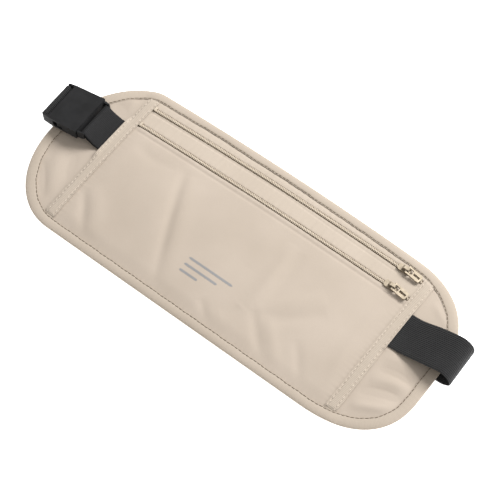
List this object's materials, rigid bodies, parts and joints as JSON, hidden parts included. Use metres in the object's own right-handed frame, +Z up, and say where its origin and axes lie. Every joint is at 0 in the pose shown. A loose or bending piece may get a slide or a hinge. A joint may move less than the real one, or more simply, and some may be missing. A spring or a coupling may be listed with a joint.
{
  "type": "money belt",
  "caption": "Flat fabric waist pouch with two zipped pockets, an elastic strap and a side-release buckle.",
  "frame": {"origin": "middle of the bounding box in plan, on the surface the belt lies on", "axes": "+X along the pouch towards the end where the strap is sewn on, +Y across the pouch towards the zips, +Z up, away from the wearer's body"},
  "size_m": [0.2984, 0.1168, 0.0153],
  "materials": {
    "pouch_fabric": "matt woven nylon",
    "lining": "thin woven lining",
    "binding_tape": "folded grosgrain tape",
    "zip_tape": "woven zip tape",
    "zip_coil": "nylon coil",
    "zip_metal": "champagne plated",
    "webbing": "dense black webbing",
    "elastic": "ribbed elastic",
    "buckle_plastic": "satin moulded"
  },
  "bodies": {
    "pouch": {"back_panel": "pouch_fabric", "pocket_divider": "lining", "base_panel": "pouch_fabric", "edge_binding": "binding_tape", "front_panel": "pouch_fabric", "middle_strip": "pouch_fabric", "top_strip": "pouch_fabric", "left_band": "binding_tape", "right_band": "binding_tape", "upper_zip_tape_bottom": "zip_tape", "upper_zip_tape_top": "zip_tape", "upper_zip_coil_bottom": "zip_coil", "upper_zip_coil_top": "zip_coil", "upper_zip_stops": "zip_metal", "lower_zip_tape_bottom": "zip_tape", "lower_zip_tape_top": "zip_tape", "lower_zip_coil_bottom": "zip_coil", "lower_zip_coil_top": "zip_coil", "lower_zip_stops": "zip_metal", "buckle_tab": "webbing", "buckle_male_base": "buckle_plastic", "elastic_strap": "elastic", "strap_return": "elastic"},
    "upper_slider": {"upper_zip_slider": "zip_metal"},
    "upper_pull": {"upper_zip_pull": "zip_metal"},
    "lower_slider": {"lower_zip_slider": "zip_metal"},
    "lower_pull": {"lower_zip_pull": "zip_metal"},
    "socket": {"buckle_socket": "buckle_plastic"},
    "prong_top": {"buckle_prong_top": "buckle_plastic"},
    "prong_bottom": {"buckle_prong_bottom": "buckle_plastic"},
    "adjuster": {"strap_adjuster": "buckle_plastic", "strap_end_fold": "elastic"}
  },
  "joints": [
    {"name": "upper_zip_slide", "type": "slide", "parent": "pouch", "child": "upper_slider", "axis": [0.9999, 0.0122, -0.001], "range_m": [-0.178, 0]},
    {"name": "upper_pull_swing", "type": "hinge", "parent": "upper_slider", "child": "upper_pull", "pos_m": [0.08819, 0.04631, 0.00589], "axis": [0.1097, 0.9909, -0.0781], "range_deg": [-160, 0]},
    {"name": "lower_zip_slide", "type": "slide", "parent": "pouch", "child": "lower_slider", "axis": [0.9999, 0.0122, -0.0007], "range_m": [-0.178, 0]},
    {"name": "lower_pull_swing", "type": "hinge", "parent": "lower_slider", "child": "lower_pull", "pos_m": [0.08819, 0.0321, 0.00686], "axis": [0.1097, 0.9925, -0.0535], "range_deg": [-160, 0]},
    {"name": "buckle_release", "type": "slide", "parent": "pouch", "child": "socket", "axis": [-0.9884, -0.0605, -0.1392], "range_m": [0, 0.022], "deforming": ["elastic_strap", "strap_return", "buckle_prong_top", "buckle_prong_bottom"]},
    {"name": "prong_top_squeeze", "type": "hinge", "parent": "pouch", "child": "prong_top", "pos_m": [-0.12375, 0.02045, 0.01152], "axis": [-0.1389, -0.0085, 0.9903], "range_deg": [0, 15], "stiffness_Nm_per_rad": 0.1},
    {"name": "prong_bottom_squeeze", "type": "hinge", "parent": "pouch", "child": "prong_bottom", "pos_m": [-0.1226, 0.00169, 0.01152], "axis": [-0.1389, -0.0085, 0.9903], "range_deg": [-15, 0], "stiffness_Nm_per_rad": 0.1},
    {"name": "adjuster_slide", "type": "slide", "parent": "pouch", "child": "adjuster", "axis": [1, 0.0087, 0], "range_m": [-0.055, 0.03]}
  ]
}
